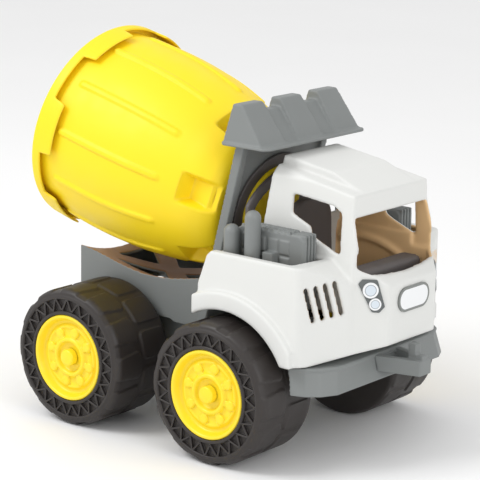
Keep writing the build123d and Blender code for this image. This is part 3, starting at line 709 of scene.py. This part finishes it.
def moulded_copy(node, name, cell, relaxed, keep, added=(), plug=None):
    """A soft-edged copy of a working part: cell in millimetres, how often it is relaxed, the share of its
    faces that is kept, pieces melted into it, and a plug that is cut out first."""
    clear_selection()
    piece = nodes[node].copy()
    piece.data = nodes[node].data.copy()
    piece.parent = None
    piece.matrix_world = Matrix.Identity(4)
    bpy.context.collection.objects.link(piece)
    piece.name = name
    piece.data.name = name
    pick(piece)
    bpy.ops.object.mode_set(mode="EDIT")
    bpy.ops.mesh.select_all(action="SELECT")
    bpy.ops.mesh.remove_doubles(threshold=MERGE_WITHIN)
    clear_selection()
    if plug:
        apply_modifier(piece, "BOOLEAN", operation="DIFFERENCE", solver="EXACT", object=plug)
        bpy.data.objects.remove(plug)
    if added:
        piece = joined(name, [piece, *added])
    apply_modifier(piece, "REMESH", mode="VOXEL", voxel_size=cell * MM)
    apply_modifier(piece, "SMOOTH", factor=0.5, iterations=relaxed)
    apply_modifier(piece, "DECIMATE", ratio=keep)
    smooth(piece, SMOOTH_BELOW)
    return piece


def hand_over_moulding(piece, node, finish):
    hand_over(piece, "truck", node, finish)
    print(piece.name, len(piece.data.polygons), "faces")


print("cells are remade, relaxed and thinned in that order")

# %% Plain shells
PLAIN_SHELLS = [
    ("rear_bed", "bed_moulding", 1.0, 3, 0.5, bed_grey, "frame_grey"),
    ("drum_frame", "frame_moulding", 1.0, 3, 0.5, frame_grey, "frame_grey"),
    ("seat_unit", "seat_moulding", 1.0, 6, 0.4, dark_grey, "dark_grey"),
    ("dash_console", "dash_moulding", 1.0, 5, 0.5, dark_grey, "dark_grey"),
    ("tow_hitch", "hitch_moulding", 0.7, 3, 0.6, frame_grey, "frame_grey"),
]
for node, name, cell, relaxed, keep, finish, slot in PLAIN_SHELLS:
    hand_over_moulding(moulded_copy(node, name, cell, relaxed, keep), node, finish)

# %% [markdown]
# ## Pieces that melt in
# Small raised details start as simple solids that overlap their shell. When the shell is remade they become
# one skin with it, with a soft fillet where they meet, as on a real moulding. Extruding faces of the shell
# would need its flat faces found one by one. Lengths are in millimetres, and x is counted from the rear
# axle.

# %% Blocks and plates to melt in
REAR_AXLE_X = axle_centre("rear_axle_caps")[0] / MM


def block(x_low, x_high, y_low, y_high, z_low, z_high):
    clear_selection()
    middle = ((x_low + x_high) / 2 + REAR_AXLE_X, (y_low + y_high) / 2, (z_low + z_high) / 2)
    bpy.ops.mesh.primitive_cube_add(size=1, location=[at * MM for at in middle])
    piece = named("melted_block")
    piece.scale = ((x_high - x_low) * MM, (y_high - y_low) * MM, (z_high - z_low) * MM)
    return settle(piece)


def extruded(name, outline, way):
    """A solid from a closed outline of (x, y, z) places, extruded along way."""
    places = [Vector(((x + REAR_AXLE_X) * MM, y * MM, z * MM)) for x, y, z in outline]
    piece = draw_line(name, places + places[:1])
    bpy.ops.mesh.remove_doubles(threshold=MERGE_WITHIN)
    bpy.ops.mesh.edge_face_add()
    bpy.ops.mesh.select_all(action="SELECT")
    bpy.ops.mesh.extrude_region_move(TRANSFORM_OT_translate={"value": [at * MM for at in way]})
    bpy.ops.mesh.select_all(action="SELECT")
    bpy.ops.mesh.normals_make_consistent(inside=False)
    return settle(piece)


def plate(half, z_low, z_high):
    """A flat plate, from the right-hand half of its outline as (x, y) points."""
    outline = half + [(x, -y) for x, y in reversed(half)]
    return extruded("melted_plate", [(x, y, z_low) for x, y in outline], (0, 0, z_high - z_low))


print("the rear axle is at x =", round(REAR_AXLE_X, 2), "mm")

# %% [markdown]
# ## Cab
# On the inner walls of the cab an arched rib follows the wheel arch. It is a ring, cut off by planes at both
# ends and at the floor. The windscreen's opening has round lower corners and a gently bowed sill, so a plug
# of that outline is cut out before the shell is remade. Moving the opening's own points would need many more
# of them along its edge.

# %% Arched ribs
RIB_CENTRE = (165.0, 45.0, 84.0)
RIB_ENDS = (143.0, 222.0)
RIB_FOOT = 112.0


def arch_rib(side):
    """The raised arched rib inside the cab wall on one side (-1 is the right)."""
    x, y, z = RIB_CENTRE
    clear_selection()
    bpy.ops.mesh.primitive_torus_add(major_segments=96, minor_segments=12, major_radius=67 * MM,
                                     minor_radius=3.4 * MM, rotation=(math.pi / 2, 0, 0),
                                     location=((x + REAR_AXLE_X) * MM, side * y * MM, z * MM))
    piece = settle(named("arch_rib"))
    pick(piece)
    bpy.ops.object.mode_set(mode="EDIT")
    behind, ahead = [(at + REAR_AXLE_X) * MM for at in RIB_ENDS]
    cuts = [((behind, 0, 0), (-1, 0, 0)), ((ahead, 0, 0), (1, 0, 0)), ((0, 0, RIB_FOOT * MM), (0, 0, -1))]
    for place, way in cuts:
        bpy.ops.mesh.select_all(action="SELECT")
        bpy.ops.mesh.bisect(plane_co=place, plane_no=way, use_fill=True, clear_outer=True)
    return settle(piece)


print("arched ribs round", RIB_CENTRE, "mm")

# %% Windscreen and cab
WINDSCREEN_X = 209.5
WINDSCREEN_DEPTH = 40.0


def windscreen_plug():
    across = [(-44.5, 187.5), (44.5, 187.5), (46.0, 170), (46.2, 160), (45.8, 154), (43.0, 149.5),
              (38.0, 147.0), (20.0, 145.0), (0.0, 144.4)]
    outline = across + [(-y, z) for y, z in reversed(across[2:-1])]
    return extruded("windscreen_plug", [(WINDSCREEN_X, y, z) for y, z in outline], (WINDSCREEN_DEPTH, 0, 0))


arch_ribs = [arch_rib(-1), arch_rib(1)]
cab = moulded_copy("cab_shell", "cab_moulding", 0.8, 16, 0.24, arch_ribs, windscreen_plug())
hand_over_moulding(cab, "cab_shell", cab_white)

# %% [markdown]
# ## Hood and bumper
# The light hood stands on a flange that shows all round its foot, and the bumper's deck ends in a thin lip.
# An inset and an extrusion of the shell's own faces could draw them out; a plate melted into the shell gives
# the same step with a soft corner.

# %% Hood
hood_corners = [(107.0, -58.0), (111.0, -62.8), (149.0, -62.8), (153.0, -58.0)]
hood = moulded_copy("light_hood", "hood_moulding", 0.8, 7, 0.4, [plate(hood_corners, 229.0, 231.2)])
hand_over_moulding(hood, "light_hood", frame_grey)

# %% Bumper
lip_corners = [(195.8, -86.4), (207.8, -82.2), (216.0, -75.0), (222.8, -61.4)]
bumper = moulded_copy("front_bumper", "bumper_moulding", 0.8, 2, 0.4, [plate(lip_corners, 79.3, 81.4)])
hand_over_moulding(bumper, "front_bumper", frame_grey)

# %% [markdown]
# ## Engine castings
# A toy engine stands in the deck on each side: four fins wrap over its front end, a grille of rails lies on
# top, and the outer wall has two rows of panels and a small box. All are blocks melted into the casting,
# which is quicker than extruding each panel from its wall. On the left every y changes its sign.

# %% Fins, rails, panels and box
FIN_COUNT = 4
GRILLE_BARS = 8
ENGINE_MIDDLE_Y = 60.5


def bar_at(side, y, half, x_low, x_high, z_low, z_high):
    """A block of half width half, centred on y on the given side."""
    return block(x_low, x_high, side * y - half, side * y + half, z_low, z_high)


def engine_details(side):
    added = [bar_at(side, 54.9 + 3.75 * step, 0.9, 181.0, 194.2, 119, 174.2) for step in range(FIN_COUNT)]
    added += [bar_at(side, y, 0.8, 134, 179, 171, 174.6) for y in (55.5, ENGINE_MIDDLE_Y, 65.5)]
    for step in range(GRILLE_BARS):
        x = 136 + 5.8 * step
        added.append(bar_at(side, ENGINE_MIDDLE_Y, 7.0, x - 0.9, x + 0.9, 171, 174.2))
    for x in (137, 149, 161, 171.5):
        added.append(bar_at(side, 67.5, 1.5, x, x + 8.5, 158, 168))
        added.append(bar_at(side, 67.5, 1.5, x, x + 8.5, 145, 155.5))
    added.append(bar_at(side, 70.75, 4.75, 161, 170, 143, 159))
    return added


for side, sign in (("right", -1), ("left", 1)):
    node = f"engine_block_{side}"
    engine = moulded_copy(node, f"engine_moulding_{side}", 0.55, 2, 0.4, engine_details(sign))
    hand_over_moulding(engine, node, frame_grey)

# %% [markdown]
# ## Labels
# The nose carries three printed labels: a blank oblong name plate with a grey border, and a dark panel with
# two silvery lamps on each corner. The outlines are drawn in the material from distances to a few places,
# which stays crisp at any size. A cut-out mesh for each ring would be heavier and no better.

# %% Name plate and lamps
def plain_gloss(name, roughness):
    """A printed label: shiny film over flat ink, with a faint orange-peel."""
    return moulded_plastic(name, (0.80, 0.81, 0.82), roughness, grain=1500.0, grain_depth=0.01, edge=0.3)


PLATE_BORDER = (0.19, 0.20, 0.19)
BORDER_WIDTH = 1.9
plate_low, plate_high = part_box("badge_plate")
plate_radius = (plate_high[2] - plate_low[2]) / 2
plate_reach = (plate_high[1] - plate_low[1]) / 2 - plate_radius
plate_label = plain_gloss("plate_label", 0.30)
tree = plate_label["tree"]
along = maths(tree, "ABSOLUTE", sorted_by(tree, plate_label["place"], "Y"))
along = maths(tree, "MAXIMUM", maths(tree, "SUBTRACT", along, plate_reach), 0.0)
up = maths(tree, "SUBTRACT", sorted_by(tree, plate_label["place"], "Z"), (plate_low[2] + plate_high[2]) / 2)
from_middle = maths(tree, "SQRT", maths(tree, "ADD", maths(tree, "MULTIPLY", along, along),
                                        maths(tree, "MULTIPLY", up, up)))
border = maths(tree, "GREATER_THAN", from_middle, plate_radius - BORDER_WIDTH * MM)
bordered = blend_colour(tree, border, plate_label["colour"], PLATE_BORDER)
link(tree, bordered, plate_label["shader"].inputs["Base Color"])

lamp_panel = moulded_plastic("lamp_panel", (0.11, 0.12, 0.12), 0.35, grain_depth=0.01, edge=0.3)
lens_label = plain_gloss("lens_label", 0.22)
print("plate", round(plate_reach / MM, 1), "mm to its round ends of", round(plate_radius / MM, 1), "mm")

# %% [markdown]
# Each lamp is a pale disc with a fine darker ring near its rim and a bluish middle. The places of the two
# lamps are read from the frame, and the left and right sides share the rule by folding Y.

# %% Lamp rings
BIG_LAMP_HEIGHT = 11.6
RING_INSIDE = 0.66
RING_OUTSIDE = 0.75
lens_spots = []
low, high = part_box("lamp_lenses_left")
places = np.array([v.co[:] for v in nodes["lamp_lenses_left"].data.vertices])
split = high[2] - BIG_LAMP_HEIGHT * MM
for part in (places[places[:, 2] > split], places[places[:, 2] <= split]):
    lens_spots.append(((part.min(0) + part.max(0)) / 2, (part[:, 2].max() - part[:, 2].min()) / 2))
tree = lens_label["tree"]
folded = add_node(tree, "ShaderNodeCombineXYZ")
link(tree, sorted_by(tree, lens_label["place"], "X"), folded.inputs["X"])
link(tree, maths(tree, "ABSOLUTE", sorted_by(tree, lens_label["place"], "Y")), folded.inputs["Y"])
link(tree, sorted_by(tree, lens_label["place"], "Z"), folded.inputs["Z"])
nearest = 10.0
for spot, radius in lens_spots:
    gap = add_node(tree, "ShaderNodeVectorMath", operation="DISTANCE")
    link(tree, folded.outputs["Vector"], gap.inputs[0])
    gap.inputs[1].default_value = spot
    share = maths(tree, "DIVIDE", gap.outputs["Value"], float(radius))
    nearest = maths(tree, "MINIMUM", share, nearest)
middle = maths(tree, "LESS_THAN", nearest, RING_INSIDE)
ring = maths(tree, "MULTIPLY", maths(tree, "GREATER_THAN", nearest, RING_INSIDE),
             maths(tree, "LESS_THAN", nearest, RING_OUTSIDE))
colour = blend_colour(tree, middle, lens_label["colour"], (0.62, 0.68, 0.74))
link(tree, blend_colour(tree, ring, colour, (0.30, 0.33, 0.36)), lens_label["shader"].inputs["Base Color"])
print("lamps of radius", [round(float(radius / MM), 2) for spot, radius in lens_spots], "mm")

# %% [markdown]
# ## Steel
# The two axles and the screws are the only metal. Drawn rod has fine lines around it and a satin shine.

# %% Steel finish
steel = moulded_plastic("drawn_steel", (0.55, 0.55, 0.56), 0.30, grain=2500.0, grain_depth=0.02, edge=0.2)
steel["shader"].inputs["Metallic"].default_value = 1.0
print("steel ready")

# %% Dress the frame's own parts
finishes = {
    "mixer_drum": drum_yellow, "drum_turntable": dark_grey, "cab_shell": cab_white, "rear_bed": bed_grey,
    "seat_unit": dark_grey, "dash_console": dark_grey, "badge_plate": plate_label,
    "rear_axle_caps": hub_yellow, "front_axle_caps": hub_yellow, "rear_axle": steel, "front_axle": steel,
    "body_screws": steel}
for side in ("right", "left"):
    finishes[f"lamp_panel_{side}"] = lamp_panel
    finishes[f"lamp_lenses_{side}"] = lens_label
for name, node in nodes.items():
    wear_this = finishes.get(name, frame_grey)
    for socket in node.material_slots:
        socket.material = wear_this["material"]
print("dressed", len(nodes), "parts")

# %% [markdown]
# ## Floor, light and camera
# A pale seamless floor, one big soft light high on the left, a weaker one from the right, and a bright even
# sky for the open shadows of a product shot. The camera has a long lens and looks down a little on the
# truck's right front corner.

# %% Floor
clear_selection()
bpy.ops.mesh.primitive_plane_add(size=6.0, location=(0, 0, 0))
floor = settle(named("studio_floor"))
paper = bpy.data.materials.new("floor_paper")
paper.use_nodes = True
paper_tree = paper.node_tree
paper_place = add_node(paper_tree, "ShaderNodeTexCoord").outputs["Object"]
paper_shader = paper_tree.nodes["Principled BSDF"]
paper_cloud = noise(paper_tree, paper_place, 3.0)
paper_tone = blend_colour(paper_tree, paper_cloud, (0.90, 0.90, 0.90), (0.93, 0.93, 0.93))
link(paper_tree, paper_tone, paper_shader.inputs["Base Color"])
paper_shader.inputs["Roughness"].default_value = 0.9
floor.data.materials.append(paper)
print("floor ready")

# %% Light
def soft_light(name, place, aim, size, power):
    clear_selection()
    bpy.ops.object.light_add(type="AREA", location=place)
    lamp = bpy.context.object
    lamp.name = name
    lamp.data.shape = "DISK"
    lamp.data.size = size
    lamp.data.energy = power
    lamp.rotation_euler = (Vector(aim) - Vector(place)).to_track_quat("-Z", "Y").to_euler()
    return lamp


soft_light("key_light", (-0.7, -1.1, 1.5), (0, 0, 0.12), 0.9, 15.0)
soft_light("fill_light", (1.6, -0.5, 0.8), (0, 0, 0.12), 1.0, 6.0)
sky = bpy.data.worlds.new("studio_sky")
bpy.context.scene.world = sky
sky.use_nodes = True
sky.node_tree.nodes["Background"].inputs["Color"].default_value = (1, 1, 1, 1)
sky.node_tree.nodes["Background"].inputs["Strength"].default_value = 0.88
bpy.context.scene.view_settings.view_transform = "Standard"

# %% Camera
AZIMUTH = math.radians(38.908)
ELEVATION = math.radians(13.430)
ROLL = math.radians(1.048)
back = Vector((math.sin(AZIMUTH) * math.cos(ELEVATION), -math.cos(AZIMUTH) * math.cos(ELEVATION),
               math.sin(ELEVATION)))
right = Vector((math.cos(AZIMUTH), math.sin(AZIMUTH), 0))
up = back.cross(right)
right, up = (math.cos(ROLL) * right + math.sin(ROLL) * up, -math.sin(ROLL) * right + math.cos(ROLL) * up)
clear_selection()
bpy.ops.object.camera_add()
camera = bpy.context.object
camera.name = "studio_camera"
turn = Matrix((right, up, back)).transposed().to_4x4()
camera.matrix_world = Matrix.Translation((0.97474, -1.2165, 0.5145)) @ turn
camera.data.lens = 154.6
camera.data.sensor_width = 36.0
bpy.context.scene.camera = camera
print("camera at", [round(v, 3) for v in camera.location])

# %% [markdown]

# %% End
print("scene built")
